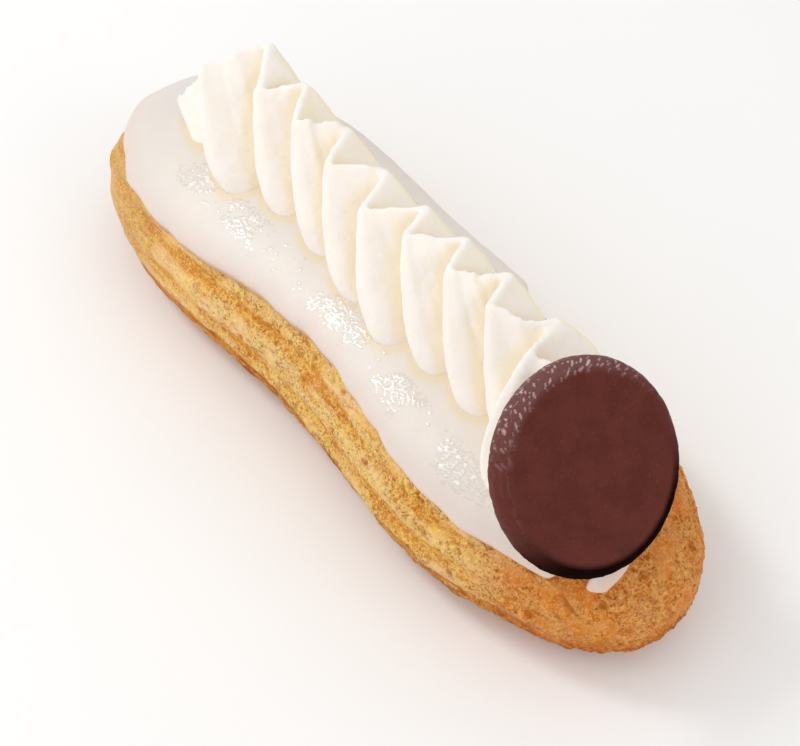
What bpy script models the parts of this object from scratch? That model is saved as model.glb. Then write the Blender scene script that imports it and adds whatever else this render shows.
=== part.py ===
"""A choux eclair: ribbed pastry, white icing, a piped ruffle of cream and a chocolate disc.

Metres, +Z up. The eclair lies along X with the disc at its +X end, and the origin is at the
middle of its underside. Lengths below are written in millimetres and scaled by MM.
"""

import math

import bmesh
import bpy
import numpy as np
from mathutils import Matrix, Vector, noise

MM = 0.001
GAP = 0.3  # clearance between touching pieces

# Pastry
LENGTH = 136.4
HALF_WIDTH = 21.7
BELLY_HEIGHT = 12.5  # height of the widest line
PASTRY_TOP = 27.5
BULGE = 1.15  # the sides swell and draw in along the length
BULGE_PITCH = 66.0
BULGE_AT = 29.0
# How far from its tip the end at -X and then the end at +X starts to round, and with what
# exponent of a superellipse: seen from above, along the ridge, and under the widest line.
OUTLINE_ENDS = ((43.0, 3.2), (36.0, 2.2))
CROWN_ENDS = ((43.0, 2.3), (45.0, 2.2))
FOOT_ENDS = ((43.0, 4.4), (36.0, 3.4))
CROWN_ROUNDNESS = 2.2  # section above the widest line
FOOT_ROUNDNESS = 2.6  # section below it
FOOT_CUT = 1.4  # how much of the rounded foot is cut off to give a flat base
GROOVE_ANGLES = (-15.0, 1.5, 24.0)  # degrees above the widest line, on each side
GROOVE_DEPTH = 0.75
GROOVE_HALF_WIDTH = 6.0  # degrees
LUMPS = ((9.0, 0.6), (4.0, 0.4))  # size and depth of the unevenness of the crust

# Icing
ICING = 1.9
ICING_TIPS = ((-65.5, 0.0), (62.3, -7.5))  # where the icing ends
ICING_SPREAD = {-1: 0.835, 1: 0.80}  # share of the half width covered on the -Y and +Y sides
ICING_WAVE = {-1: 0.045, 1: 0.14}
ICING_WAVE_PITCH = {-1: 76.0, 1: 110.0}
ICING_WAVE_AT = {-1: 41.0, 1: -6.0}
ICING_FAR_END = {-1: (23.0, 2.6), 1: (11.0, 2.7)}
ICING_NEAR_END = {-1: (8.0, 2.6), 1: (24.0, 2.0)}
ICING_BITES = ((-1, 58.2, 1.6, 4.2), (1, 30.0, 15.0, 5.0))  # side, where, half width, depth
ICING_LIP = 3.0  # width of the rounded edge

# Cream ruffle: a wall folded from side to side that leans back towards -X
RUFFLE_START = -42.6  # where the crest first turns, on the -Y side
RUFFLE_PITCH = 10.05
RUFFLE_TURNS = 9.2
CREST_HEIGHT = 43.5
CREST_SWING = 3.6
CREST_SIDE = 1.0
FOOT_SWING = 7.6
FOOT_SIDE = -0.9
FOOT_TUCK = 2.6  # the folds draw in again where they meet the icing
FOOT_DROP = 1.5  # how far the last folds reach down over the end of the pastry
LEAN = 14.0  # the foot stands this far ahead of the crest
WALL = 4.4  # half thickness near the foot
CREST_WALL = 0.45
UNEVEN = 1.3
SKEW = 0.055  # the folds slant forwards at the start and back at the end, more with each fold
UPRIGHT_FOLD = 2.4  # the fold that doesn't slant
DRIFT = 1.8  # how far the ruffle first swings off its line, and over how many folds
DRIFT_PITCH = 6.0
TAIL = 1.05  # folds over which the crest rises at the start
TAIL_START = 0.5  # share of the full height at which it starts
SQUEEZED_FOLD, SQUEEZE = 8.0, 6.3  # the fold that the disc squeezes out sideways, and how far
FULLER = 0.4  # the first whole fold is this much wider than the others
FIRST_PEAK = (0.4, 2.0)  # where along it its crest is highest, and by how much
CREAM_VOXEL = 0.5
CREAM_KEPT = 0.059  # share of the voxels' faces that the solid keeps

# Chocolate disc
DISC_RADIUS = 15.6
DISC_THICKNESS = 4.0
DISC_EDGE = 1.7
DISC_CENTRE = (55.1, -5.9, 38.0)  # middle of the front face
DISC_FACES = (0.78, 0.03, 0.62)


def clear_scene():
    for item in list(bpy.data.objects):
        bpy.data.objects.remove(item)


def superellipse(t, exponent):
    """Height of a superellipse of size 1 at t, from 1 in the middle to 0 at -1 and 1."""
    return (1 - min(abs(t), 1.0) ** exponent) ** (1 / exponent)


def rounded_end(distance, reach, roundness):
    """From 0 at a tip to 1 at this reach from it, and 1 beyond."""
    return superellipse(max(0.0, 1 - distance / reach), roundness)


def rough(point, layers):
    """Uneven depth from 0 to the sum of the layers' depths, at a point."""
    return sum(depth * (0.5 + 0.5 * noise.noise(Vector(point) / size)) for size, depth in layers)


def spaced(curve, low, high, count):
    """Values between low and high that step evenly along the curve drawn over them."""
    values = np.linspace(low, high, 500)
    points = np.array([curve(v) for v in values])
    run = np.concatenate([[0], np.cumsum(np.linalg.norm(np.diff(points, axis=0), axis=1))])
    return np.interp(np.linspace(0, run[-1], count + 2)[1:-1], run, values)


def loft(name, rings, start, end):
    """A closed mesh through rings of equal length, drawn to a point at each end."""
    mesh = bmesh.new()
    rows = [[mesh.verts.new(Vector(point) * MM) for point in ring] for ring in rings]
    around = range(len(rows[0]))
    for low, high in zip(rows, rows[1:]):
        for i in around:
            mesh.faces.new((low[i - 1], low[i], high[i], high[i - 1]))
    for tip, row in ((start, rows[0]), (end, rows[-1])):
        point = mesh.verts.new(Vector(tip) * MM)
        for i in around:
            mesh.faces.new((row[i - 1], row[i], point))
    bmesh.ops.recalc_face_normals(mesh, faces=mesh.faces)
    data = bpy.data.meshes.new(name)
    mesh.to_mesh(data)
    mesh.free()
    return bpy.data.objects.new(name, data)


# --- Pastry -------------------------------------------------------------------------------


def fullness(x, ends=OUTLINE_ENDS):
    """Share of its full size that the pastry has at x: 1 along the middle, 0 at the tips."""
    return rounded_end(LENGTH / 2 - abs(x), *ends[int(x > 0)])


def half_width(x):
    swell = BULGE * math.cos(2 * math.pi * (x - BULGE_AT) / BULGE_PITCH)
    return (HALF_WIDTH + swell) * fullness(x)


def rise(x):
    """Height of the pastry's ridge above its widest line."""
    return (PASTRY_TOP - BELLY_HEIGHT) * fullness(x, CROWN_ENDS)


def crown(x, y):
    """Height of the smooth pastry, without its grooves and lumps."""
    across = y / max(half_width(x), 0.001)
    return BELLY_HEIGHT + rise(x) * superellipse(across, CROWN_ROUNDNESS)


def groove(angle):
    """Depth of the grooves at a section angle in degrees, measured up from +Y."""
    side = angle if angle <= 90 else 180 - angle
    return sum(
        GROOVE_DEPTH * math.exp(-(((side - at) / GROOVE_HALF_WIDTH) ** 2)) for at in GROOVE_ANGLES
    )


def pastry_point(x, angle):
    """A point of the crust at a section angle in degrees, measured up from +Y."""
    c, s = math.cos(math.radians(angle)), math.sin(math.radians(angle))
    if s >= 0:
        height, roundness = rise(x), CROWN_ROUNDNESS
    else:
        height, roundness = (BELLY_HEIGHT + FOOT_CUT) * fullness(x, FOOT_ENDS), FOOT_ROUNDNESS
    across = math.copysign(abs(c) ** (2 / roundness), c) * half_width(x)
    up = math.copysign(abs(s) ** (2 / roundness), s) * height
    inset = fullness(x) * (groove(angle) + rough((x, across, up), LUMPS))
    out = Vector((across, up)).normalized() * inset
    return x, across - out.x, max(0.0, BELLY_HEIGHT + up - out.y)


def pastry():
    tip = LENGTH / 2
    stations = spaced(lambda x: (x, half_width(x)), -tip, tip, 50)
    side = np.arange(-38, 46, 6.0)
    crest = np.linspace(54, 126, 7)
    foot = np.linspace(232, 308, 5)
    angles = np.concatenate([side, crest, 180 - side[::-1], foot])
    rings = [[pastry_point(x, angle) for angle in angles] for x in stations]
    return loft("pastry", rings, (-tip, 0, BELLY_HEIGHT), (tip, 0, BELLY_HEIGHT))


# --- Icing --------------------------------------------------------------------------------


def icing_edge(x, side):
    """Where the icing's edge runs on the -Y side (-1) or the +Y side (1)."""
    turn = 2 * math.pi * (x - ICING_WAVE_AT[side]) / ICING_WAVE_PITCH[side]
    spread = (ICING_SPREAD[side] + ICING_WAVE[side] * math.cos(turn)) * half_width(x)
    (start, start_y), (end, end_y) = ICING_TIPS
    closing = rounded_end(x - start, *ICING_FAR_END[side])
    closing *= rounded_end(end - x, *ICING_NEAR_END[side])
    tip = start_y if x < 0 else end_y
    bites = sum(
        depth * math.exp(-(((x - at) / reach) ** 4))
        for where, at, reach, depth in ICING_BITES
        if where == side
    )
    return tip + (side * spread - tip) * closing - side * bites


def outwards(x, y):
    """The direction straight out from the smooth pastry's top."""
    step = 0.5
    slope_x = (crown(x + step, y) - crown(x - step, y)) / (2 * step)
    slope_y = (crown(x, y + step) - crown(x, y - step)) / (2 * step)
    return Vector((-slope_x, -slope_y, 1)).normalized()


def icing_surface(x, y, lift):
    """A point this far out from the smooth pastry."""
    return Vector((x, y, crown(x, y))) + outwards(x, y) * lift


def icing_thickness(edge):
    """Thickness at this distance in from the edge, which is rounded."""
    return ICING * superellipse(max(0.0, 1 - edge / ICING_LIP), 2)


def icing():
    (start, _), (end, _) = ICING_TIPS
    stations = spaced(lambda x: (x, icing_edge(x, -1)), start, end, 42)
    shares = (1 + np.sin(np.linspace(-math.pi / 2, math.pi / 2, 19))) / 2
    rings = []
    for x in stations:
        right, left = icing_edge(x, -1), icing_edge(x, 1)
        over, under = [], []
        for share in shares:
            y = right + (left - right) * share
            edge = min(y - right, left - y, x - start, end - x)
            over.append(icing_surface(x, y, GAP + 0.2 + icing_thickness(edge)))
            under.append(icing_surface(x, y, GAP))
        rings.append(over + under[::-1])
    ends = [icing_surface(x, y, GAP + 0.1) for x, y in ICING_TIPS]
    return loft("icing", rings, *ends)


# --- Cream --------------------------------------------------------------------------------


def zigzag(turns, sharpness):
    """A wave from -1 at whole turns to 1 between them: a sine at sharpness 0, a zigzag at 1."""
    return -math.asin(sharpness * math.cos(2 * math.pi * turns)) / math.asin(sharpness)


def wander(turns, seed):
    """Slow noise along the ruffle, from about -1 to 1."""
    return 1.6 * noise.noise(Vector((turns * 0.9, 5.3 * seed, 0.7)))


def rising(turns):
    """Share of its full height that the ruffle has, which is less along the tail."""
    return TAIL_START + (1 - TAIL_START) * min(1.0, (turns + TAIL) / TAIL) ** 2


def ruffle(turns, height):
    """The middle of the folded wall, at a share of its height."""
    skew = SKEW * (UPRIGHT_FOLD - turns)
    phase = turns + skew * height * (1 - math.cos(2 * math.pi * turns)) / 2
    low = 1 - height
    spread = min(1.0, (turns + TAIL) / TAIL)  # the tail's foot is drawn in
    swing = CREST_SWING * (1 + FULLER * height * math.exp(-((turns / 0.4) ** 2)))
    swing += ((FOOT_SWING - CREST_SWING) * low**0.7 - FOOT_TUCK * low**5) * spread
    squeezed = SQUEEZE * math.exp(-(((turns - SQUEEZED_FOLD) / 0.35) ** 2))
    swing += squeezed * low * (4 * height + 0.4)
    side = FOOT_SIDE + (CREST_SIDE - FOOT_SIDE) * height
    side += DRIFT * math.sin(2 * math.pi * turns / DRIFT_PITCH) * math.exp(-max(turns, 0) / 5)
    x = RUFFLE_START + RUFFLE_PITCH * turns + UNEVEN * wander(turns, 321) + LEAN * low
    y = side + swing * zigzag(phase, 0.75 + 0.235 * height) * (1 + 0.3 * wander(turns, 297))
    return Vector((x, y))


def wall(height):
    """Half thickness of the wall, rounded in at the foot and hollowing towards a thin crest."""
    return CREST_WALL + (WALL - CREST_WALL) * (1 - height) * (1 - 0.4 * (1 - height) ** 4)


def crest(turns, foot, fading):
    """Height of the crest. fading runs from 1 to 0 where the cream was let go."""
    peak_at, peak = FIRST_PEAK
    full = CREST_HEIGHT + 1.2 * wander(turns, 343) + peak * math.exp(-(((turns - peak_at) / 0.3) ** 2))
    return foot + (full - foot) * rising(turns) * fading


def ruffle_ring(turns, fading):
    """A ring round the wall."""
    foot = max(crown(*ruffle(turns, 0)), PASTRY_TOP - FOOT_DROP)
    top = crest(turns, foot, fading)
    heights = np.linspace(0, 1, 12)
    ring = []
    for side, order in ((-1, heights), (1, heights[::-1])):
        for height in order:
            along = ruffle(turns + 0.02, height) - ruffle(turns - 0.02, height)
            out = Vector((-along.y, along.x)).normalized() * side * wall(height) * fading
            here = ruffle(turns, height) + out
            ring.append(pressed((here.x, here.y, foot + (top - foot) * height)))
    return ring


def disc_frame():
    """The disc's own frame: its front faces +Z, from the middle of it."""
    facing = Vector(DISC_FACES).normalized()
    return Matrix.Translation(DISC_CENTRE) @ facing.to_track_quat("Z", "Y").to_matrix().to_4x4()


def pressed(point):
    """Where cream goes that the icing below it or the disc before it pushes back."""
    x, y, z = point
    z = max(z, crown(x, y) + (ICING + 2 * GAP + 0.3) / max(outwards(x, y).z, 0.6))
    local = disc_frame().inverted() @ Vector((x, y, z))
    local.z = min(local.z, -DISC_THICKNESS - GAP)
    return disc_frame() @ local


def cream():
    turns = np.linspace(-TAIL, RUFFLE_TURNS, 240)
    rings = [
        ruffle_ring(t, rounded_end(min(t + TAIL, RUFFLE_TURNS - t) + 0.02, 0.5, 2))
        for t in turns
    ]
    ends = [sum((Vector(p) for p in ring), Vector()) / len(ring) for ring in (rings[0], rings[-1])]
    rope = loft("cream", rings, *ends)
    merge = rope.modifiers.new("merge the folds", "REMESH")
    merge.mode = "VOXEL"
    merge.voxel_size = CREAM_VOXEL * MM
    thin = rope.modifiers.new("thin out", "DECIMATE")
    thin.ratio = CREAM_KEPT
    return rope


# --- Chocolate disc -----------------------------------------------------------------------


def disc():
    mesh = bmesh.new()
    size = DISC_RADIUS * MM
    bmesh.ops.create_cone(
        mesh, cap_ends=True, segments=56, radius1=size, radius2=size, depth=DISC_THICKNESS * MM
    )
    bmesh.ops.translate(mesh, verts=mesh.verts, vec=(0, 0, -DISC_THICKNESS / 2 * MM))
    data = bpy.data.meshes.new("chocolate_disc")
    mesh.to_mesh(data)
    mesh.free()
    coin = bpy.data.objects.new("chocolate_disc", data)
    rim = coin.modifiers.new("round the rim", "BEVEL")
    rim.width = DISC_EDGE * MM
    rim.segments = 4
    frame = disc_frame()
    coin.matrix_world = Matrix.Translation(frame.translation * MM) @ frame.to_3x3().to_4x4()
    return coin


def main():
    clear_scene()
    shelf = bpy.data.collections.new("eclair")
    bpy.context.scene.collection.children.link(shelf)
    for piece in (pastry(), icing(), cream(), disc()):
        shelf.objects.link(piece)


main()
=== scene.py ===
"""The looks of a choux eclair: baked crust, glossy icing, a ruffle of cream and a chocolate disc.

Lengths are written in millimetres and scaled by MM, in the frame of the CAD model: the eclair
lies along X with the disc at its +X end, +Z is up and the origin is under its middle.
"""

import math

import bmesh
import bpy
import numpy as np
from mathutils import Matrix, Vector, noise
from mathutils.kdtree import KDTree


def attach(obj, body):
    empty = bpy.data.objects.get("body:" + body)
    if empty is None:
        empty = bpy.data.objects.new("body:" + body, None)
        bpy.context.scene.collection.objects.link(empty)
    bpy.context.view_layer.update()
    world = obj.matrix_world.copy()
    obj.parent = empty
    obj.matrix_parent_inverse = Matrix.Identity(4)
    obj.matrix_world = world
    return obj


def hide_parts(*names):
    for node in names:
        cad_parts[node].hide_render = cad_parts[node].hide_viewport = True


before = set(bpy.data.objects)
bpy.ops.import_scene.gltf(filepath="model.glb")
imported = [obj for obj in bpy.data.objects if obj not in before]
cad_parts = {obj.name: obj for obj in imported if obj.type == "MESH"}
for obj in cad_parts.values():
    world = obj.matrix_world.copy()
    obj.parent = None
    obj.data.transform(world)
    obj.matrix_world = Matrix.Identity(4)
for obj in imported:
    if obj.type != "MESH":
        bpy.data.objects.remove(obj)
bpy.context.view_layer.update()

MM = 0.001

# Photograph's view
VIEW_AZIMUTH, VIEW_ELEVATION = 52.67, 48.54
VIEW_DISTANCE = 300.0
VIEW_TARGET = (9.02, -4.2, 15.0)
VIEW_LENS = 85.04

# Studio: each lamp's name, direction, distance and width in metres, and power in watts
LAMPS = (
    ("key", (-0.53, -0.31, 0.77), 0.7, 0.16, 0.9),
    ("soft", (-0.4, -0.5, 0.8), 0.9, 0.8, 1.0),
    ("front", (0.3, -0.8, 0.5), 0.9, 0.6, 0.6),
    ("side", (0.85, 0.2, 0.5), 0.8, 0.5, 0.7),
)
SKY_COLOUR, SKY_STRENGTH = (1.0, 0.99, 0.975, 1), 0.7
FLOOR_HALF = 3.0  # metres

# Pastry
LENGTH = 136.4
HALF_WIDTH = 21.7
BELLY_HEIGHT = 12.5  # height of the widest line
PASTRY_TOP = 27.5
BULGE = 1.15  # the sides swell and draw in along the length
BULGE_PITCH = 66.0
BULGE_AT = 29.0  # where they swell most
# How far from its tip the end at -X and then the end at +X starts to round, and with what
# exponent of a superellipse: seen from above, along the ridge, and under the widest line.
OUTLINE_ENDS = ((43.0, 3.2), (36.0, 2.2))
CROWN_ENDS = ((43.0, 2.3), (45.0, 2.2))
FOOT_ENDS = ((43.0, 4.4), (36.0, 3.4))
CROWN_ROUNDNESS = 2.2  # section above the widest line
FOOT_ROUNDNESS = 2.6  # section below it
FOOT_CUT = 1.4  # how much of the rounded foot is cut off to give a flat base
GROOVE_ANGLES = (-15.0, 1.5, 24.0)  # degrees above the widest line, on each side
GROOVE_DEPTH = 0.75
GROOVE_HALF_WIDTH = 5.0  # degrees
GROOVE_WANDER = 3.5  # degrees
GROOVE_WANDER_PITCH, GROOVE_DEPTH_PITCH = 16, 9  # lengths over which they wander and deepen
LUMPS = ((9.0, 0.6), (4.0, 0.4))  # size and depth of the unevenness of the crust
CRUST_STATIONS, CRUST_AROUND = 400, 240
UNSEEN = 0.3  # how closely its points lie under the icing and on its base, against 1 elsewhere
ICED = (50, 130)  # section angles between which the crust is under the icing
SIDES = (-60, 240)  # and between which it is off its base
STREAKY_FROM = (-60.0, -38.0)  # its grooves are darker from here on
CRUMBLY_FROM = (-42.0, -12.0)  # the crust is smooth at its far end and crumbly from here on
BROWNED_FROM = (40.0, 56.0)  # and it is browner and flakier at the end under the disc
CRATERS = (  # burst bubbles: where, and how wide
    ((-13.2, -19.8, 14.5), 1.0),
    ((-6.1, -17.2, 19.9), 0.7),
    ((-2.8, -16.9, 20.2), 0.8),
    ((3.5, -17.2, 20.2), 0.6),
    ((34.1, -19.6, 19.3), 0.9),
    ((63.0, -9.2, 16.9), 1.4),
)
CRACK = ((57.9, -13.6, 18.6), (58.4, -12.9, 17.0), (60.7, -12.4, 15.6))
CRACK_DEPTH, CRACK_HALF_WIDTH = 0.45, 0.25
PIT_DEPTH = 0.5
STREAK_HEIGHT, WRINKLE_HEIGHT = 0.2, 0.24
CRUMB_RELIEF, SWELL_RELIEF = 0.2, 0.25
CRUST_INSET = 0.38  # how far the crust is set in, so that its relief stays inside the CAD model

# Icing
ICING = 1.9
ICING_TIPS = ((-65.5, 0.0), (62.3, -7.5))  # where the icing ends
ICING_SPREAD = {-1: 0.835, 1: 0.80}  # share of the half width covered on the -Y and +Y sides
ICING_WAVE = {-1: 0.045, 1: 0.14}  # share of the half width by which the edge waves
ICING_WAVE_PITCH = {-1: 76.0, 1: 110.0}
ICING_WAVE_AT = {-1: 41.0, 1: -6.0}
# How far from each tip the icing's edge starts to round, and with what exponent
ICING_FAR_END = {-1: (23.0, 2.6), 1: (11.0, 2.7)}
ICING_NEAR_END = {-1: (8.0, 2.6), 1: (24.0, 2.0)}
ICING_BITES = ((-1, 58.2, 1.6, 4.2), (1, 30.0, 15.0, 5.0))  # side, where, half width, depth
ICING_UNEVEN = 0.5  # how far its edge strays
ICING_LIP, ICING_ROUNDNESS = 3.0, 2.4  # width of the rounded edge, and its exponent
ICING_LIFT = 0.5  # how far the foot of that edge stands off the smooth pastry
ICING_SINK = 1.2  # how far its underside goes into the uneven crust
ICING_STATIONS, ICING_ACROSS, ICING_UNDER = 500, 150, 14
CREAMED = (0.3, 0.7)  # shares of its width between which the cream covers it
UNDER_CREAM = 0.22  # how closely its points lie there, against 1 elsewhere
BUBBLY = (11.4, 15.0)  # crinkles and bubbles lie along a band: how far off the middle at each end
BUBBLY_SHIFT = (0, 36)  # where along the eclair the band moves out
BUBBLY_START, BUBBLY_STOP = (-42, -36), (46, 36)  # where it fades in, and out
BUBBLY_HALF_WIDTH = 2.4
BUBBLE_HEIGHT = 0.13
ICING_SWELLS = ((6.0, 0.14, 0.0), (2.5, 0.05, 4.0))  # size, height and seed

# Cream ruffle: a wall folded from side to side that leans back towards -X
RUFFLE_START = -42.6  # where the crest first turns, on the -Y side
RUFFLE_PITCH = 10.05
RUFFLE_TURNS = 9.2
CREST_HEIGHT = 43.5
CREST_SWING = 3.6
CREST_SIDE = 1.0
FOOT_SWING = 7.6
FOOT_SIDE = -0.9
FOOT_TUCK = 2.6  # the folds draw in again where they meet the icing
FOOT_DROP = 1.5  # how far the last folds reach down over the end of the pastry
LEAN = 14.0  # the foot stands this far ahead of the crest
WALL = 4.4  # half thickness that the wall would have at its foot, were it not rounded in there
CREST_WALL = 0.45
UNEVEN = 1.3  # how far the folds stray along the eclair
STRAY_SEED, SWING_SEED, CREST_SEED = 321, 297, 343
SKEW = 0.055  # the folds slant forwards at the start and back at the end, more with each fold
UPRIGHT_FOLD = 2.4  # the fold that doesn't slant
DRIFT = 1.8  # how far the ruffle first swings off its line, and over how many folds
DRIFT_PITCH = 6.0
TAIL = 1.05  # folds over which the crest rises at the start
TAIL_START = 0.5  # share of the full height at which it starts
SQUEEZED_FOLD, SQUEEZE = 8.0, 6.3  # the fold that the disc squeezes out sideways, and how far
FULLER = 0.4  # the crest of the first whole fold swings this much wider than the others
FIRST_PEAK = (0.4, 2.0)  # where along it its crest is highest, and by how much
CREAM_SINK = 0.7  # how far the cream presses into the icing
STEEPEST = 0.6  # least Z of the outward direction along which its foot is lifted
DISC_PRESS = 0.1  # how far it reaches into the back of the disc
CREAM_RINGS, CREAM_HEIGHTS = 700, 22  # rings along it, and points up each side of a ring
CREAM_ENDS = (0.5, 2)  # folds over which the ruffle's ends are rounded, and the exponent
CREAM_VOXEL = 0.37
CREAM_SWELLS = ((3.2, 0.16, 0.0), (1.3, 0.06, 2.0))  # size, height and seed
DENT, DENT_DEPTH, DENT_SHARE = 2.8, 0.12, 0.12  # size, depth, and share of cells with one
RAGGED = 1.3  # unevenness of the torn parts of the crest
TORN_FOLDS = (0, 2, 5, 6)  # the folds whose crest is torn

# Chocolate disc
DISC_RADIUS = 15.6
DISC_THICKNESS = 4.0
DISC_SHOULDER = 2.1  # width of the rounded front edge
DISC_SHOULDER_DROP = 1.8
DISC_CREASE = 0.08  # depth of the crease between the face and the shoulder
DISC_BACK_EDGE = 1.2
DISC_SIDE = 0.4  # height of its straight side
DISC_HUB = 0.6  # radius of the smallest ring
DISC_CENTRE = (55.1, -5.9, 38.0)  # middle of the front face
DISC_FACES = (0.78, 0.03, 0.62)
DISC_AROUND = 520
DIMPLE_STRETCH, DIMPLE_DEPTH = 1.8, 0.2  # the dents in its shoulder are longer across it
GLINT_STRETCH = 2.0  # and so are the glints painted on it
GLINTS_FACE = (-0.6, 0.05, 0.78)  # which way the part of the disc's shoulder with painted glints faces, towards the key lamp


# --- Shape tools --------------------------------------------------------------------------


def superellipse(t, exponent):
    """Height of a superellipse of size 1 at t, from 1 in the middle to 0 at -1 and 1."""
    return (1 - min(abs(t), 1.0) ** exponent) ** (1 / exponent)


def rounded_end(distance, reach, roundness):
    """From 0 at a tip to 1 at this reach from it, and 1 beyond."""
    return superellipse(max(0.0, 1 - distance / reach), roundness)


def smooth(values, low, high):
    """0 below low, 1 above high, with a soft step between them."""
    t = np.clip((values - low) / (high - low), 0, 1)
    return t * t * (3 - 2 * t)


def rough(point, layers):
    """Uneven depth from 0 to the sum of the layers' depths, at a point."""
    return sum(depth * (0.5 + 0.5 * noise.noise(Vector(point) / size)) for size, depth in layers)


def spaced(curve, low, high, count, density=None):
    """Values between low and high that step evenly along the curve drawn over them.

    Where a density is given, the steps are closer where it is higher.
    """
    values = np.linspace(low, high, 500)
    points = np.array([curve(v) for v in values])
    steps = np.linalg.norm(np.diff(points, axis=0), axis=1)
    if density:
        steps *= [density(v) for v in values[1:]]
    run = np.concatenate([[0], np.cumsum(steps)])
    return np.interp(np.linspace(0, run[-1], count + 2)[1:-1], run, values)


def loft(name, rings, start, end):
    """A closed mesh through rings of equal length, drawn to a point at each end."""
    mesh = bmesh.new()
    rows = [[mesh.verts.new(Vector(point) * MM) for point in ring] for ring in rings]
    around = range(len(rows[0]))
    for low, high in zip(rows, rows[1:]):
        for i in around:
            mesh.faces.new((low[i - 1], low[i], high[i], high[i - 1]))
    for tip, row in ((start, rows[0]), (end, rows[-1])):
        point = mesh.verts.new(Vector(tip) * MM)
        for i in around:
            mesh.faces.new((row[i - 1], row[i], point))
    bmesh.ops.recalc_face_normals(mesh, faces=mesh.faces)
    data = bpy.data.meshes.new(name)
    mesh.to_mesh(data)
    mesh.free()
    piece = bpy.data.objects.new(name, data)
    bpy.context.scene.collection.objects.link(piece)
    return piece


def points_of(piece):
    """The points of a piece and its normals there, in millimetres."""
    mesh = piece.data
    points = np.empty(len(mesh.vertices) * 3, np.float32)
    normals = np.empty_like(points)
    mesh.vertices.foreach_get("co", points)
    mesh.vertex_normals.foreach_get("vector", normals)
    return points.reshape(-1, 3).astype(float) / MM, normals.reshape(-1, 3).astype(float)


def move_points(piece, points):
    piece.data.vertices.foreach_set("co", (points * MM).astype(np.float32).ravel())
    piece.data.update()


def write_attribute(piece, name, values):
    """Values from 0 to 1 at each point, which the material reads."""
    attribute = piece.data.attributes.new(name, "FLOAT", "POINT")
    attribute.data.foreach_set("value", np.clip(values, 0, 1).astype(np.float32))


def noise_at(points, size, stretch=(1, 1, 1), seed=0.0):
    """Smooth noise from about -1 to 1 at each point."""
    scaled = points / (np.array(stretch) * size) + seed
    return np.array([noise.noise(Vector(p)) for p in scaled])


def cells_at(points, size, seed=0.0):
    """How far each point is from the middle of its cell, in cells, and the cell's own number."""
    found = [noise.voronoi(Vector(p)) for p in points / size + seed]
    near = np.array([distances[0] for distances, _ in found])
    own = np.array([0.5 + 0.5 * noise.cell(centres[0] * 7.3) for _, centres in found])
    return near, own


def pits_at(points, size, share, seed=0.0):
    """1 in the middle of round pits and 0 outside them. share is how many of the cells have one."""
    near, own = cells_at(points, size, seed)
    radius = 0.22 + 0.3 * own / share
    return np.where(own < share, np.maximum(0, 1 - (near / radius) ** 2), 0)


def ridges_at(points, size, stretch=(1, 1, 1), seed=0.0):
    """1 along thin winding ridges and 0 away from them."""
    return np.maximum(0, 1 - 4 * np.abs(noise_at(points, size, stretch, seed)))


def away_from(points, path):
    """Distance from each point to a path of straight runs."""
    nearest = np.full(len(points), np.inf)
    for start, end in zip(np.array(path), np.array(path)[1:]):
        run = end - start
        along = np.clip((points - start) @ run / (run @ run), 0, 1)
        nearest = np.minimum(nearest, np.linalg.norm(points - start - along[:, None] * run, axis=1))
    return nearest


def swells_at(points, layers):
    """Smooth unevenness at each point, from layers of noise: size, height and seed."""
    return sum(height * noise_at(points, size, seed=seed) for size, height, seed in layers)


def distance_to(points, probes):
    """Distance from each probe to the nearest of the points."""
    tree = KDTree(len(points))
    for i, point in enumerate(points):
        tree.insert(point, i)
    tree.balance()
    return np.array([tree.find(probe)[2] for probe in probes])


def shade_smooth(piece):
    piece.data.polygons.foreach_set("use_smooth", [True] * len(piece.data.polygons))


def applied(piece):
    """The piece with its modifiers made part of its mesh."""
    graph = bpy.context.evaluated_depsgraph_get()
    mesh = bpy.data.meshes.new_from_object(piece.evaluated_get(graph))
    piece.modifiers.clear()
    piece.data = mesh
    return piece


# --- Materials ----------------------------------------------------------------------------


def srgb(red, green, blue):
    """A colour as a picture gives it, 0 to 255, in the linear values that shaders take."""
    return tuple((c / 255 / 12.92 if c < 11 else ((c / 255 + 0.055) / 1.055) ** 2.4)
                 for c in (red, green, blue)) + (1.0,)


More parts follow.
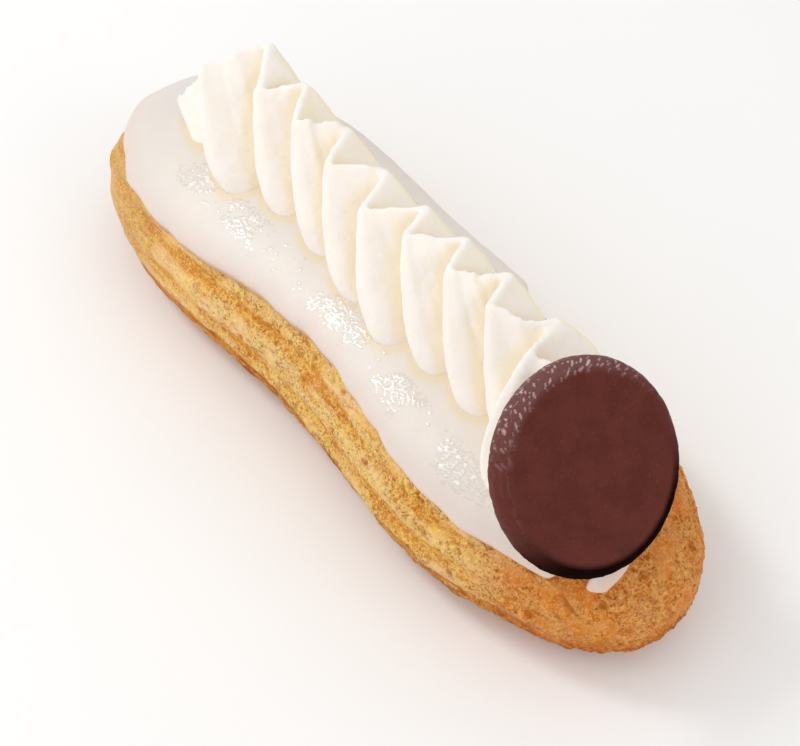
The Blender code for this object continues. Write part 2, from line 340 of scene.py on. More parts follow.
class Shader:
    """A material around one Principled shader, with short calls for the nodes that feed it."""

    def __init__(self, name, **sockets):
        self.material = bpy.data.materials.new(name)
        self.material.use_nodes = True
        self.tree = self.material.node_tree
        self.surface = self.tree.nodes["Principled BSDF"]
        self.place = self.add("TexCoord").outputs["Object"]
        for socket, value in sockets.items():
            self.put(self.surface.inputs[socket.replace("_", " ")], value)

    def add(self, kind, inputs=(), **settings):
        node = self.tree.nodes.new("ShaderNode" + kind)
        for setting, value in settings.items():
            setattr(node, setting, value)
        for socket, value in dict(inputs).items():
            self.put(node.inputs[socket], value)
        return node

    def put(self, socket, value):
        if isinstance(value, bpy.types.NodeSocket):
            self.tree.links.new(value, socket)
        else:
            socket.default_value = value

    def attribute(self, name):
        return self.add("Attribute", attribute_name=name).outputs["Fac"]

    def stretched(self, stretch):
        return self.add("Mapping", {"Vector": self.place, "Scale": [1 / s for s in stretch]})

    def noise(self, size, detail=2.0, roughness=0.5, distortion=0.0, stretch=None):
        """Noise from 0 to 1 with features of this size in millimetres."""
        place = self.stretched(stretch).outputs[0] if stretch else self.place
        sockets = {"Vector": place, "Scale": 1 / (size * MM), "Detail": detail,
                   "Roughness": roughness, "Distortion": distortion}
        return self.add("TexNoise", sockets).outputs["Fac"]

    def holes(self, size, share):
        """1 in the middle of holes and 0 outside them. share is how many of the cells have one."""
        cells = self.add("TexVoronoi", {"Vector": self.place, "Scale": 1 / (size * MM)})
        own = self.add("SeparateColor", {0: cells.outputs["Color"]}).outputs[0]
        bowl = self.remap(cells.outputs["Distance"], 0.1, 0.45, 1, 0)
        return self.times(bowl, self.remap(own, share, share - 0.05))

    def squiggles(self, size):
        """1 along thin winding lines and 0 between them."""
        middle = self.calc("ABSOLUTE", self.calc("SUBTRACT", self.noise(size, 3, 0.6, 0.6), 0.5))
        return self.remap(middle, 0, 0.07, 1, 0)

    def remap(self, value, low, high, to_low=0.0, to_high=1.0):
        sockets = {"Value": value, "From Min": low, "From Max": high,
                   "To Min": to_low, "To Max": to_high}
        return self.add("MapRange", sockets, interpolation_type="SMOOTHSTEP").outputs[0]

    def calc(self, operation, a, b=0.0):
        return self.add("Math", {0: a, 1: b}, operation=operation).outputs[0]

    def times(self, a, b):
        return self.calc("MULTIPLY", a, b)

    def mix(self, share, a, b):
        """From a at share 0 to b at share 1."""
        return self.add("Mix", {0: share, 6: a, 7: b}, data_type="RGBA").outputs[2]

    def axis(self, index):
        """The place along one axis, in millimetres."""
        return self.calc("DIVIDE", self.add("SeparateXYZ", {0: self.place}).outputs[index], MM)

    def wavy_height(self, size, detail):
        """Height in millimetres and up to 4 more by noise, for bands that end in a wavy line."""
        return self.calc("ADD", self.axis(2), self.times(self.noise(size, detail), 4))

    def bump(self, height, depth, below=None):
        """Relief of this depth in millimetres where height runs from 0 to 1."""
        sockets = {"Height": height, "Distance": depth * MM, "Strength": 1.0}
        if below is not None:
            sockets["Normal"] = below
        return self.add("Bump", sockets).outputs[0]

    def finish(self, colour, normal, roughness=None):
        self.put(self.surface.inputs["Base Color"], colour)
        self.put(self.surface.inputs["Normal"], normal)
        if roughness is not None:
            self.put(self.surface.inputs["Roughness"], roughness)
        return self.material


# Colours of the baked crust
TAN, GREY, GOLD = srgb(238, 194, 124), srgb(244, 204, 152), srgb(218, 150, 60)
ORANGE, STRAW, PALE = srgb(208, 130, 34), srgb(246, 200, 88), srgb(255, 219, 126)
BROWN, RUST, UMBER = srgb(176, 88, 12), srgb(214, 114, 18), srgb(112, 64, 28)
AMBER, BAKED_DARK, EVEN = srgb(206, 122, 14), srgb(160, 78, 16), srgb(200, 152, 94)
INSIDE, APRICOT = srgb(192, 100, 24), srgb(252, 190, 104)


def baked_colour(s, streaks, low, high):
    """The crust under its crumbs: patches, streaks, darker grooves and a browner near end."""
    hollow, browned = s.attribute("hollow"), s.attribute("browned")
    patches = s.noise(4.5, 4, 0.7, stretch=(3, 1, 1))
    baked = s.remap(s.noise(5.0, 4, 0.6), 0.35, 0.6, 1, 0.65)
    colour = s.mix(s.remap(s.noise(6.0, 3, 0.6), 0.44, 0.54), TAN, GOLD)
    colour = s.mix(s.remap(patches, 0.47, 0.56, 0, 0.9), colour, GREY)
    colour = s.mix(s.remap(hollow, 0.1, 0.8, 0, 0.95), colour, ORANGE)
    colour = s.mix(s.times(low, 0.95), colour, AMBER)
    colour = s.mix(s.times(s.remap(streaks, 0.53, 0.62, 0, 0.65), high), colour, STRAW)
    colour = s.mix(s.remap(streaks, 0.46, 0.38, 0, 0.5), colour, BROWN)
    colour = s.mix(s.times(browned, baked), colour, RUST)
    return s.mix(s.remap(s.axis(0), -28, -48, 0, 0.65), colour, EVEN)


def crumb_colour(s, colour, some, high, grain, specks, rims):
    """Pale crumbs and specks over the baked colour, with dark nooks between them."""
    browned = s.attribute("browned")
    crumbly = s.times(high, s.remap(browned, 0, 1, 0.85, 0.6))
    fleck = s.mix(browned, PALE, APRICOT)
    flakes = s.times(s.remap(grain, 0.52, 0.6), some)
    nooks = s.times(s.remap(grain, 0.46, 0.39), some)
    colour = s.mix(s.times(flakes, crumbly), colour, fleck)
    colour = s.mix(s.times(nooks, s.remap(browned, 0, 1, 0.75, 0.9)), colour, BROWN)
    colour = s.mix(s.times(rims, crumbly), colour, fleck)
    colour = s.mix(s.times(s.remap(specks, 0.44, 0.36, 0, 0.6), some), colour, BROWN)
    return s.mix(s.times(s.remap(specks, 0.56, 0.64, 0, 0.8), crumbly), colour, fleck)


def foot_colour(s, colour, low):
    """Dark streaks low on the sides, and a dark line where the crust lay on the tray."""
    dark = s.remap(s.noise(0.8, 4, 0.7, stretch=(9, 1, 1)), 0.46, 0.58, 0, 0.75)
    colour = s.mix(s.times(low, dark), colour, BAKED_DARK)
    return s.mix(s.remap(s.wavy_height(6, 4), 1.8, 4.5, 0.9, 0), colour, UMBER)


def choux_material():
    s = Shader("baked_choux", Subsurface_Weight=0.05, Subsurface_Scale=0.5 * MM,
               Subsurface_Radius=(1.0, 0.5, 0.2), Specular_IOR_Level=0.2)
    some = s.remap(s.attribute("crumbs"), 0, 1, 0.2, 1)
    grain, specks = s.noise(0.9, 4, 0.7, 0.3), s.noise(0.35, 2, 0.6)
    streaks = s.noise(1.0, 5, 0.7, stretch=(6, 1, 1))
    rims = s.times(s.squiggles(1.3), some)
    low = s.remap(s.wavy_height(5, 3), 13, 8)
    high = s.remap(low, 0, 1, 1, 0.45)
    colour = baked_colour(s, streaks, low, high)
    colour = crumb_colour(s, colour, some, high, grain, specks, rims)
    colour = s.mix(s.times(s.attribute("pit"), 0.9), colour, INSIDE)
    colour = foot_colour(s, colour, low)
    normal = s.bump(s.times(grain, some), 0.5)
    normal = s.bump(streaks, 0.3, normal)
    normal = s.bump(specks, 0.12, normal)
    normal = s.bump(rims, 0.04, normal)
    return s.finish(colour, normal, s.remap(s.noise(3.0, 3), 0.35, 0.65, 0.5, 0.75))


def icing_material():
    s = Shader("sugar_icing", Subsurface_Weight=0.2, Subsurface_Scale=1.2 * MM,
               Subsurface_Radius=(1.0, 0.75, 0.55), Specular_IOR_Level=0.5)
    edge, shade, bubbles_and_glints = map(s.attribute, ("edge", "shade", "bubbles_and_glints"))
    colour = s.mix(s.remap(s.noise(11, 3), 0.35, 0.65), srgb(233, 224, 215), srgb(231, 224, 217))
    colour = s.mix(s.remap(edge, 0.1, 0.9, 0, 0.9), colour, srgb(230, 213, 204))
    colour = s.mix(s.remap(edge, 0.72, 1.0, 0, 0.6), colour, srgb(228, 180, 146))
    # Painted shade, warm and yellowish, on the icing by the foot of the cream.
    colour = s.mix(s.remap(shade, 0, 1, 0, 0.7), colour, srgb(234, 217, 178))
    # Painted shade: thin grey rims round the bubbles and crinkles.
    painted_rim_shade = s.times(s.remap(bubbles_and_glints, 0.02, 0.1), s.remap(bubbles_and_glints, 0.4, 0.15))
    colour = s.mix(s.times(painted_rim_shade, 0.3), colour, srgb(200, 192, 180))
    # Painted highlight: the bubbles and crinkles are whitened.
    colour = s.mix(s.remap(bubbles_and_glints, 0.3, 0.6, 0, 0.6), colour, srgb(255, 254, 252))
    normal = s.bump(s.remap(s.noise(0.9, 3, 0.6, 0.8), 0.45, 0.6), 0.01)
    return s.finish(colour, normal, s.remap(bubbles_and_glints, 0.02, 0.2, 0.42, 0.1))


def cream_material():
    s = Shader("whipped_cream", Subsurface_Weight=0.25, Subsurface_Scale=1.2 * MM,
               Subsurface_Radius=(1.0, 0.85, 0.6), Specular_IOR_Level=0.3)
    fold_shade, crest_line, turned = map(s.attribute, ("fold_shade", "crest", "turned"))
    colour = s.mix(s.remap(s.noise(3.5, 4), 0.3, 0.7), srgb(254, 246, 240), srgb(253, 243, 233))
    # Painted shade, warm yellow, inside the narrow folds.
    colour = s.mix(s.times(fold_shade, 0.7), colour, srgb(252, 238, 212))
    # Painted shade, pale yellow, on the upper faces that turn towards +Y, away from the key lamp.
    colour = s.mix(s.times(turned, 0.8), colour, srgb(255, 242, 208))
    # Painted highlight along the thin crest.
    colour = s.mix(crest_line, colour, srgb(255, 251, 244))
    normal = s.bump(s.noise(1.2, 4, 0.6), 0.06)
    normal = s.bump(s.holes(0.9, 0.3), -0.04, normal)
    return s.finish(colour, normal, s.remap(s.noise(1.5, 3), 0.3, 0.7, 0.45, 0.62))


def chocolate_material():
    s = Shader("dark_chocolate", Specular_IOR_Level=0.0, Coat_Roughness=0.1)
    shoulder, under, glint = map(s.attribute, ("shoulder", "under", "glint"))
    colour = s.mix(s.remap(s.noise(4.0, 4, 0.6), 0.35, 0.65), srgb(101, 53, 46), srgb(94, 48, 41))
    colour = s.mix(s.remap(s.noise(0.4, 3, 0.6), 0.56, 0.7, 0, 0.3), colour, srgb(122, 74, 66))
    colour = s.mix(s.times(shoulder, 0.7), colour, srgb(98, 42, 33))
    # Painted glints and sheen on the shoulder.
    colour = s.mix(s.times(glint, 0.8), colour, srgb(232, 204, 206))
    # Painted shade, near black, on the lower part of the shoulder.
    colour = s.mix(under, colour, srgb(18, 5, 4))
    normal = s.bump(s.noise(0.5, 4, 0.6), 0.03)
    normal = s.bump(s.times(s.noise(0.9, 3, 0.6, 0.6), shoulder), 0.12, normal)
    coat = s.times(shoulder, s.remap(under, 0.1, 0.8, 0.3, 0.03))
    s.put(s.surface.inputs["Coat Weight"], coat)
    return s.finish(colour, normal, s.remap(shoulder, 0, 1, 0.55, 0.35))


# --- Pastry -------------------------------------------------------------------------------


def fullness(x, ends=OUTLINE_ENDS):
    """Share of its full size that the pastry has at x: 1 along the middle, 0 at the tips."""
    return rounded_end(LENGTH / 2 - abs(x), *ends[int(x > 0)])


def half_width(x):
    swell = BULGE * math.cos(2 * math.pi * (x - BULGE_AT) / BULGE_PITCH)
    return (HALF_WIDTH + swell) * fullness(x)


def rise(x):
    """Height of the pastry's ridge above its widest line."""
    return (PASTRY_TOP - BELLY_HEIGHT) * fullness(x, CROWN_ENDS)


def crown(x, y):
    """Height of the smooth pastry, without its grooves and lumps."""
    across = y / max(half_width(x), 0.001)
    return BELLY_HEIGHT + rise(x) * superellipse(across, CROWN_ROUNDNESS)


def groove(x, angle):
    """Share of the full groove depth at a section angle in degrees, measured up from +Y."""
    side, mirror = (angle, 1) if angle <= 90 else (180 - angle, -1)
    found = 0.0
    for i, at in enumerate(GROOVE_ANGLES):
        drift = GROOVE_WANDER * noise.noise(Vector((x / GROOVE_WANDER_PITCH, 3.1 * i * mirror, 0.5)))
        depth = 1 + 0.6 * noise.noise(Vector((x / GROOVE_DEPTH_PITCH, 7.7 * i * mirror, 2.5)))
        found += depth * math.exp(-(abs(side - at - drift) / GROOVE_HALF_WIDTH) ** 1.6)
    return found


def pastry_point(x, angle):
    """A point of the crust at a section angle in degrees, measured up from +Y."""
    c, s = math.cos(math.radians(angle)), math.sin(math.radians(angle))
    if s >= 0:
        height, roundness = rise(x), CROWN_ROUNDNESS
    else:
        height, roundness = (BELLY_HEIGHT + FOOT_CUT) * fullness(x, FOOT_ENDS), FOOT_ROUNDNESS
    across = math.copysign(abs(c) ** (2 / roundness), c) * half_width(x)
    up = math.copysign(abs(s) ** (2 / roundness), s) * height
    depth = GROOVE_DEPTH * groove(x, angle) + rough((x, across, up), LUMPS)
    out = Vector((across, up)).normalized() * depth * fullness(x)
    return x, across - out.x, max(0.0, BELLY_HEIGHT + up - out.y)


def crust_angles():
    """A function that gives the section angles at x, close together where the crust shows."""
    def section(angle):
        return pastry_point(0, angle)[1:]

    def shown(angle):
        """The sides show all along. The top is under the icing and the base is on the floor."""
        on_top, on_base = ICED[0] < angle < ICED[1], not SIDES[0] <= angle <= SIDES[1]
        return UNSEEN if on_top or on_base else 1

    covered = spaced(section, -90, 270, CRUST_AROUND, shown)
    bare = spaced(section, -90, 270, CRUST_AROUND)
    return lambda x: covered + (bare - covered) * smooth(x, *BROWNED_FROM)


def crust():
    tip = LENGTH / 2
    stations = spaced(lambda x: (x, half_width(x)), -tip, tip, CRUST_STATIONS)
    angles = crust_angles()
    rings = [[pastry_point(x, angle) for angle in angles(x)] for x in stations]
    piece = loft("choux_crust", rings, (-tip, 0, BELLY_HEIGHT), (tip, 0, BELLY_HEIGHT))
    points, normals = points_of(piece)
    hollow = np.array([groove(x, angle) for x in stations for angle in angles(x)] + [0, 0])
    browned = smooth(points[:, 0], *BROWNED_FROM)
    patchy = smooth(noise_at(points, 14.0, seed=1.0), -0.35, 0.15)
    hollow *= (1 - browned) * (0.6 + 0.4 * patchy)
    hollow *= 0.6 + 0.4 * smooth(points[:, 0], *STREAKY_FROM)
    crumbly = smooth(points[:, 0] + 6 * noise_at(points, 8.0), *CRUMBLY_FROM)
    depth, pit, crumbs = crust_relief(points, np.clip(hollow, 0, 1), crumbly, browned)
    off_floor = smooth(points[:, 2], 0.05, 1.5)
    points -= normals * (depth * off_floor)[:, None]
    points[:, 2] = np.maximum(points[:, 2], 0)
    move_points(piece, points)
    write_attribute(piece, "hollow", hollow)
    write_attribute(piece, "pit", pit)
    write_attribute(piece, "crumbs", crumbs)
    write_attribute(piece, "browned", browned)
    return piece


def crust_relief(points, hollow, crumbly, browned):
    """How far the crust lies below its smooth form, how far into a pit, and how crumbly it is."""
    crumbs = smooth(noise_at(points, 4.0, seed=12.0), -0.5, 0.1) * crumbly * (1 - 0.6 * hollow)
    holes = pits_at(points, 1.1, 0.6) * crumbs
    pit = np.maximum(0.45 * holes, pits_at(points, 1.9, 0.1, 9.1) * (0.3 + 0.7 * crumbly))
    for place, radius in CRATERS:
        away = np.linalg.norm(points - place, axis=1) / (0.75 * radius)
        pit = np.maximum(pit, 1.1 * np.maximum(0, 1 - away**2))
    low = smooth(points[:, 2], 9, 4)
    streaks = ridges_at(points, 1.3, (7.0, 1, 1), 3.3) * (0.3 + 0.7 * low)
    wrinkles = ridges_at(points, 1.8, (1.6, 1, 1), 6.1) * (0.25 + 0.75 * browned)
    crack = np.exp(-((away_from(points, CRACK) / CRACK_HALF_WIDTH) ** 2))
    grain, swells = noise_at(points, 0.9, seed=5.0), noise_at(points, 3.0, seed=8.0)
    depth = PIT_DEPTH * pit - STREAK_HEIGHT * streaks - WRINKLE_HEIGHT * wrinkles
    depth += CRACK_DEPTH * crack
    depth += CRUMB_RELIEF * grain * crumbs + SWELL_RELIEF * swells
    return depth + CRUST_INSET, np.maximum(pit, crack), crumbs


# --- Icing --------------------------------------------------------------------------------


def icing_edge(x, side):
    """Where the icing's edge runs on the -Y side (-1) or the +Y side (1)."""
    turn = 2 * math.pi * (x - ICING_WAVE_AT[side]) / ICING_WAVE_PITCH[side]
    spread = (ICING_SPREAD[side] + ICING_WAVE[side] * math.cos(turn)) * half_width(x)
    (start, start_y), (end, end_y) = ICING_TIPS
    closing = rounded_end(x - start, *ICING_FAR_END[side])
    closing *= rounded_end(end - x, *ICING_NEAR_END[side])
    tip = start_y if x < 0 else end_y
    bites = sum(
        depth * math.exp(-(((x - at) / reach) ** 4))
        for where, at, reach, depth in ICING_BITES
        if where == side
    )
    uneven = ICING_UNEVEN * noise.noise(Vector((x / 5, side, 0.2)))
    return tip + (side * (spread + uneven) - tip) * closing - side * bites


def outwards(x, y):
    """The direction straight out from the smooth pastry's top."""
    step = 0.5
    slope_x = (crown(x + step, y) - crown(x - step, y)) / (2 * step)
    slope_y = (crown(x, y + step) - crown(x, y - step)) / (2 * step)
    return Vector((-slope_x, -slope_y, 1)).normalized()


def icing_surface(x, y, lift):
    """A point this far out from the smooth pastry."""
    return Vector((x, y, crown(x, y))) + outwards(x, y) * lift


def icing_thickness(edge):
    """Thickness at this distance in from the edge, which is rounded."""
    return ICING * superellipse(max(0.0, 1 - edge / ICING_LIP), ICING_ROUNDNESS)


def glaze():
    (start, _), (end, _) = ICING_TIPS
    stations = spaced(lambda x: (x, icing_edge(x, -1)), start, end, ICING_STATIONS)
    across = spaced(
        lambda share: (math.sin(math.pi * (share - 0.5)),), 0, 1, ICING_ACROSS,
        lambda share: UNDER_CREAM if CREAMED[0] < share < CREAMED[1] else 1,
    )
    under = np.linspace(0.01, 0.99, ICING_UNDER)
    rings, edges = [], []
    for x in stations:
        right, left = icing_edge(x, -1), icing_edge(x, 1)
        ring = []
        for share in across:
            y = right + (left - right) * share
            edges.append(min(y - right, left - y, x - start, end - x))
            ring.append(icing_surface(x, y, ICING_LIFT + icing_thickness(edges[-1])))
        for share in under[::-1]:
            edges.append(0)
            ring.append(icing_surface(x, right + (left - right) * share, -ICING_SINK))
        rings.append(ring)
    piece = loft("sugar_icing", rings, *(icing_surface(x, y, 0) for x, y in ICING_TIPS))
    points, normals = points_of(piece)
    edges = np.array(edges + [0, 0])
    bubbles_and_glints = bubbles(points)
    swell = swells_at(points, ICING_SWELLS) * smooth(edges, 0, 1.5) + BUBBLE_HEIGHT * bubbles_and_glints
    move_points(piece, points + normals * swell[:, None])
    write_attribute(piece, "edge", 1 - edges / 6)
    # Marks the bubbles and crinkles, on which the material also paints highlights.
    write_attribute(piece, "bubbles_and_glints", bubbles_and_glints)
    return piece


def bubbles(points):
    """Share of their full height that the crinkles and bubbles have, along a band on each side."""
    start, end = BUBBLY
    middle = start + (end - start) * smooth(points[:, 0], *BUBBLY_SHIFT)
    band = np.exp(-(((np.abs(points[:, 1]) - middle) / BUBBLY_HALF_WIDTH) ** 4))
    band *= smooth(points[:, 0], *BUBBLY_START) * smooth(points[:, 0], *BUBBLY_STOP)
    gathered = noise_at(points, 8.0, seed=2.0) + 0.4 * noise_at(points, 3.0, seed=6.0)
    gathered = smooth(gathered, 0.0, 0.2)
    wrinkles, beads = ridges_at(points, 0.8, seed=9.0) ** 2, pits_at(points, 0.9, 0.7, 4.0)
    crinkles = np.maximum(wrinkles, 0.8 * beads)
    drops = np.maximum(pits_at(points, 1.2, 0.14, 7.0), pits_at(points, 0.8, 0.14, 5.0))
    return band * np.maximum(crinkles * gathered, drops)


def write_shade(icing, cream):
    """Marks where the icing lies close to the foot of the cream, for the painted shade there."""
    away = distance_to(points_of(cream)[0][::5], points_of(icing)[0])
    write_attribute(icing, "shade", 1 - smooth(away, 0.3, 2.4))


# --- Cream --------------------------------------------------------------------------------


def zigzag(turns, sharpness):
    """A wave from -1 at whole turns to 1 between them: a sine at sharpness 0, a zigzag at 1."""
    return -math.asin(sharpness * math.cos(2 * math.pi * turns)) / math.asin(sharpness)


def wander(turns, seed):
    """Slow noise along the ruffle, from about -1 to 1."""
    return 1.6 * noise.noise(Vector((turns * 0.9, 5.3 * seed, 0.7)))


def rising(turns):
    """Share of its full height that the ruffle has, which is less along the tail."""
    return TAIL_START + (1 - TAIL_START) * min(1.0, (turns + TAIL) / TAIL) ** 2


def ruffle(turns, height):
    """The middle of the folded wall, at a share of its height."""
    skew = SKEW * (UPRIGHT_FOLD - turns)
    phase = turns + skew * height * (1 - math.cos(2 * math.pi * turns)) / 2
    low = 1 - height
    spread = min(1.0, (turns + TAIL) / TAIL)  # the tail's foot is drawn in
    swing = CREST_SWING * (1 + FULLER * height * math.exp(-((turns / 0.4) ** 2)))
    swing += ((FOOT_SWING - CREST_SWING) * low**0.7 - FOOT_TUCK * low**5) * spread
    squeezed = SQUEEZE * math.exp(-(((turns - SQUEEZED_FOLD) / 0.35) ** 2))
    swing += squeezed * low * (4 * height + 0.4)
    side = FOOT_SIDE + (CREST_SIDE - FOOT_SIDE) * height
    side += DRIFT * math.sin(2 * math.pi * turns / DRIFT_PITCH) * math.exp(-max(turns, 0) / 5)
    x = RUFFLE_START + RUFFLE_PITCH * turns + UNEVEN * wander(turns, STRAY_SEED) + LEAN * low
    y = side + swing * zigzag(phase, 0.75 + 0.235 * height) * (1 + 0.3 * wander(turns, SWING_SEED))
    return Vector((x, y))


def wall(height):
    """Half thickness of the wall, rounded in at the foot and hollowing towards a thin crest."""
    return CREST_WALL + (WALL - CREST_WALL) * (1 - height) * (1 - 0.4 * (1 - height) ** 4)


def torn(turns):
    """Unevenness of the crest, which is ragged along some folds and clean along others."""
    where = max(math.exp(-(((turns - fold - 0.25) / 0.25) ** 4)) for fold in TORN_FOLDS)
    coarse = noise.noise(Vector((turns * 11, 0.3, 0.8)))
    fine = noise.noise(Vector((turns * 29, 2.3, 0.8)))
    return RAGGED * (0.12 + 0.88 * where) * (coarse + 0.5 * fine)


def crest(turns, foot, fading):
    """Height of the crest. fading runs from 1 to 0 where the cream was let go."""
    peak_at, peak = FIRST_PEAK
    raised = peak * math.exp(-(((turns - peak_at) / 0.3) ** 2))
    full = CREST_HEIGHT + 1.2 * wander(turns, CREST_SEED) + raised
    return foot + (full - foot) * rising(turns) * fading


def ruffle_ring(turns, fading):
    """A ring round the wall."""
    foot = max(crown(*ruffle(turns, 0)), PASTRY_TOP - FOOT_DROP)
    top = crest(turns, foot, fading) + torn(turns) * fading
    heights = np.linspace(0, 1, CREAM_HEIGHTS)
    ring = []
    for side, order in ((-1, heights), (1, heights[::-1])):
        for height in order:
            along = ruffle(turns + 0.02, height) - ruffle(turns - 0.02, height)
            out = Vector((-along.y, along.x)).normalized() * side * wall(height) * fading
            here = ruffle(turns, height) + out
            ring.append(pressed((here.x, here.y, foot + (top - foot) * height)))
    return ring


def pressed(point):
    """Where cream goes that the icing below it or the disc before it pushes back."""
    x, y, z = point
    above_icing = (ICING + ICING_LIFT - CREAM_SINK) / max(outwards(x, y).z, STEEPEST)
    z = max(z, crown(x, y) + above_icing)
    local = DISC_INVERSE @ Vector((x, y, z))
    local.z = min(local.z, -DISC_THICKNESS + DISC_PRESS)
    return DISC_FRAME @ local


def cream():
    turns = np.linspace(-TAIL, RUFFLE_TURNS, CREAM_RINGS)
    to_end = [min(t + TAIL, RUFFLE_TURNS - t) + 0.02 for t in turns]
    rings = [ruffle_ring(t, rounded_end(end, *CREAM_ENDS)) for t, end in zip(turns, to_end)]
    ends = [sum((Vector(p) for p in ring), Vector()) / len(ring) for ring in (rings[0], rings[-1])]
    piece = loft("cream_ruffle", rings, *ends)
    merge = piece.modifiers.new("merge the folds", "REMESH")
    merge.mode = "VOXEL"
    merge.voxel_size = CREAM_VOXEL * MM
    soften = piece.modifiers.new("soften", "SMOOTH")
    soften.iterations = 3
    piece = applied(piece)
    points, normals = points_of(piece)
    lift = swells_at(points, CREAM_SWELLS) - DENT_DEPTH * pits_at(points, DENT, DENT_SHARE)
    move_points(piece, points + normals * lift[:, None])
    crest_line = [ring[len(ring) // 2] for ring in rings]
    # Marks points inside narrow folds, for painted shade there.
    write_attribute(piece, "fold_shade", nearness(points, points + 3.0 * normals, 3.0))
    # Marks the crest line, for a painted highlight along it.
    write_attribute(piece, "crest", nearness(crest_line, points, 0.9))
    # Marks the upper faces that turn towards +Y, away from the key lamp, for painted shade there.
    write_attribute(piece, "turned", smooth(normals[:, 1], 0.1, 0.7) * smooth(points[:, 2], 31, 36))
    return piece


def nearness(points, probes, reach):
    """1 where a probe lies right by one of the points, and 0 where it is out of reach of them."""
    return 1 - smooth(distance_to(points, probes), 0.25 * reach, 0.95 * reach)


# --- Chocolate disc -----------------------------------------------------------------------


def disc_frame():
    """The disc's own frame: its front faces +Z, from the middle of it."""
    facing = Vector(DISC_FACES).normalized()
    return Matrix.Translation(DISC_CENTRE) @ facing.to_track_quat("Z", "Y").to_matrix().to_4x4()


DISC_FRAME = disc_frame()
DISC_INVERSE = DISC_FRAME.inverted()


def disc_profile():
    """Radius and height of the disc's section, from the middle of its front to that of its back."""
    face, low = DISC_RADIUS - DISC_SHOULDER, -DISC_THICKNESS
    crease = [(face + 0.15 * i, -DISC_CREASE * (1 - abs(i - 1))) for i in range(3)]
    flat = [(r, 0.0) for r in np.linspace(DISC_HUB, face - 0.1, 34)]
    front = [
        (face + 0.3 + (DISC_SHOULDER - 0.3) * math.sin(a), -DISC_SHOULDER_DROP * (1 - math.cos(a)))
        for a in np.linspace(0, math.pi / 2, 22)[1:]
    ]
    side = -DISC_SHOULDER_DROP - DISC_SIDE
    back = [
        (DISC_RADIUS - DISC_BACK_EDGE * (1 - math.cos(a)), side + (low - side) * math.sin(a))
        for a in np.linspace(0, math.pi / 2, 12)
    ]
    under = [(r, low) for r in np.linspace(DISC_RADIUS - DISC_BACK_EDGE, DISC_HUB, 16)[1:]]
    return flat + crease + front + back + under


def chocolate_disc():
    turns = np.linspace(0, 2 * math.pi, DISC_AROUND, endpoint=False)
    rings = [[(r * math.cos(a), r * math.sin(a), z) for a in turns] for r, z in disc_profile()]
    piece = loft("chocolate_disc_coin", rings, (0, 0, 0), (0, 0, -DISC_THICKNESS))
    points, normals = points_of(piece)
    radius = np.linalg.norm(points[:, :2], axis=1)
    start = DISC_RADIUS - DISC_SHOULDER
    shoulder = smooth(radius, start - 0.5, start + 0.7)
    around = np.arctan2(points[:, 1], points[:, 0]) * DISC_RADIUS
    unrolled = np.column_stack([around, radius / DIMPLE_STRETCH, points[:, 2] / DIMPLE_STRETCH])
    depth = DIMPLE_DEPTH * pits_at(unrolled, 0.8, 0.9, 3.0)
    depth = (depth + 0.1 * (noise_at(points, 1.6) + 1)) * shoulder
    depth += 0.04 * (noise_at(points, 4.0) + 1)
    points -= normals * depth[:, None]
    turned = points @ np.array(DISC_FRAME.to_3x3()).T
    move_points(piece, turned + np.array(DISC_FRAME.translation))
    across = np.column_stack([radius, points[:, 2]]) / GLINT_STRETCH
    slanted = np.column_stack([around + radius, across])
    # Painted glints, over a faint painted sheen, on the part of the shoulder that faces the key
    # lamp.
    glint_side = shoulder * smooth(turned @ np.array(GLINTS_FACE) / DISC_RADIUS, 0.25, 1.0)
    glint_spots = smooth(pits_at(slanted, 0.7, 0.8, 8.0), 0.3, 0.6)
    glint_spots = np.maximum(glint_spots, 0.8 * smooth(pits_at(slanted, 0.45, 0.5, 2.0), 0.3, 0.6))
    write_attribute(piece, "glint", glint_side * (0.1 + 0.9 * glint_spots))
    write_attribute(piece, "shoulder", shoulder)
    # Marks the lower part of the shoulder, which the material paints near black as shade.
    write_attribute(piece, "under", shoulder * smooth(-turned[:, 2], 0, 9))
    return piece


# --- Stage --------------------------------------------------------------------------------


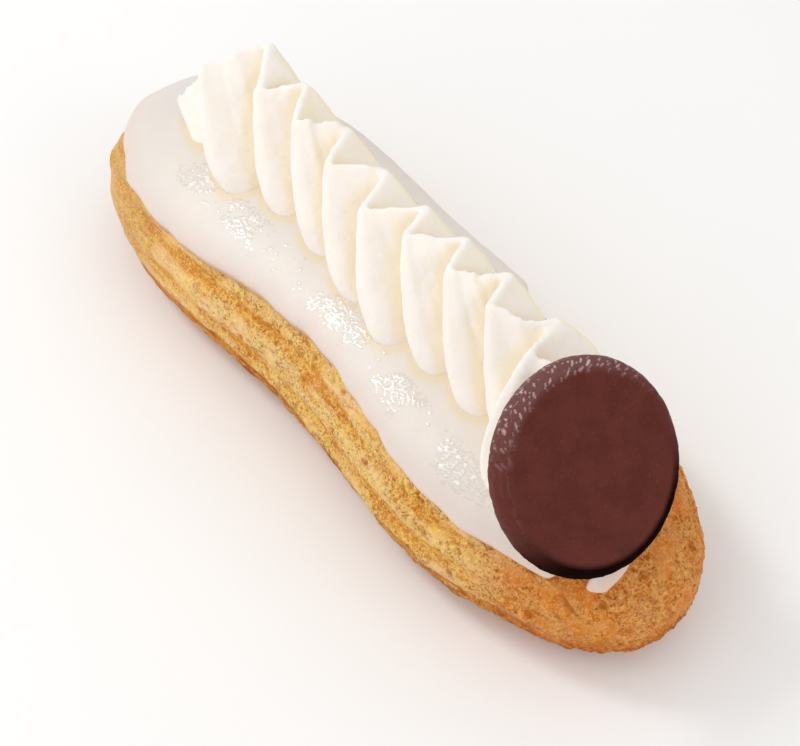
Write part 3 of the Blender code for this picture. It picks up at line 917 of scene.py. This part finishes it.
def camera():
    azimuth, elevation = math.radians(VIEW_AZIMUTH), math.radians(VIEW_ELEVATION)
    back = Vector((math.sin(azimuth) * math.cos(elevation),
                   -math.cos(azimuth) * math.cos(elevation), math.sin(elevation)))
    data = bpy.data.cameras.new("camera")
    data.lens = VIEW_LENS
    data.clip_start, data.clip_end = 0.01, 10
    view = bpy.data.objects.new("camera", data)
    view.location = (Vector(VIEW_TARGET) + back * VIEW_DISTANCE) * MM
    view.rotation_euler = (-back).to_track_quat("-Z", "Y").to_euler()
    bpy.context.scene.collection.objects.link(view)
    bpy.context.scene.camera = view


def floor():
    mesh = bpy.data.meshes.new("floor")
    corners = [(x * FLOOR_HALF, y * FLOOR_HALF, 0) for x, y in ((-1, -1), (1, -1), (1, 1), (-1, 1))]
    mesh.from_pydata(corners, [], [(0, 1, 2, 3)])
    ground = bpy.data.objects.new("floor", mesh)
    bpy.context.scene.collection.objects.link(ground)
    s = Shader("pale_floor", Roughness=0.7, Specular_IOR_Level=0.2)
    mesh.materials.append(s.finish(s.mix(s.noise(40), srgb(252, 252, 252), srgb(254, 254, 254)),
                                   s.bump(s.noise(2), 0.01)))


def light(name, direction, distance, size, power):
    data = bpy.data.lights.new(name, "AREA")
    data.shape = "DISK"
    data.size, data.energy = size, power
    lamp = bpy.data.objects.new(name, data)
    towards = Vector(direction).normalized()
    lamp.location = towards * distance
    lamp.rotation_euler = towards.to_track_quat("Z", "Y").to_euler()
    bpy.context.scene.collection.objects.link(lamp)


def studio():
    world = bpy.data.worlds.new("studio")
    world.use_nodes = True
    background = world.node_tree.nodes["Background"]
    background.inputs["Color"].default_value = SKY_COLOUR
    background.inputs["Strength"].default_value = SKY_STRENGTH
    bpy.context.scene.world = world
    for lamp in LAMPS:
        light(*lamp)
    bpy.context.scene.view_settings.view_transform = "Standard"


def main():
    icing, ruffle_piece = glaze(), cream()
    write_shade(icing, ruffle_piece)
    made = (
        (crust(), choux_material(), "pastry", "choux"),
        (icing, icing_material(), "icing", "icing"),
        (ruffle_piece, cream_material(), "cream", "cream"),
        (chocolate_disc(), chocolate_material(), "chocolate_disc", "chocolate"),
    )
    for piece, material, node, slot in made:
        piece.data.materials.clear()
        piece.data.materials.append(material)
        shade_smooth(piece)
        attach(piece, "root")
        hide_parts(node)
    camera()
    floor()
    studio()


main()
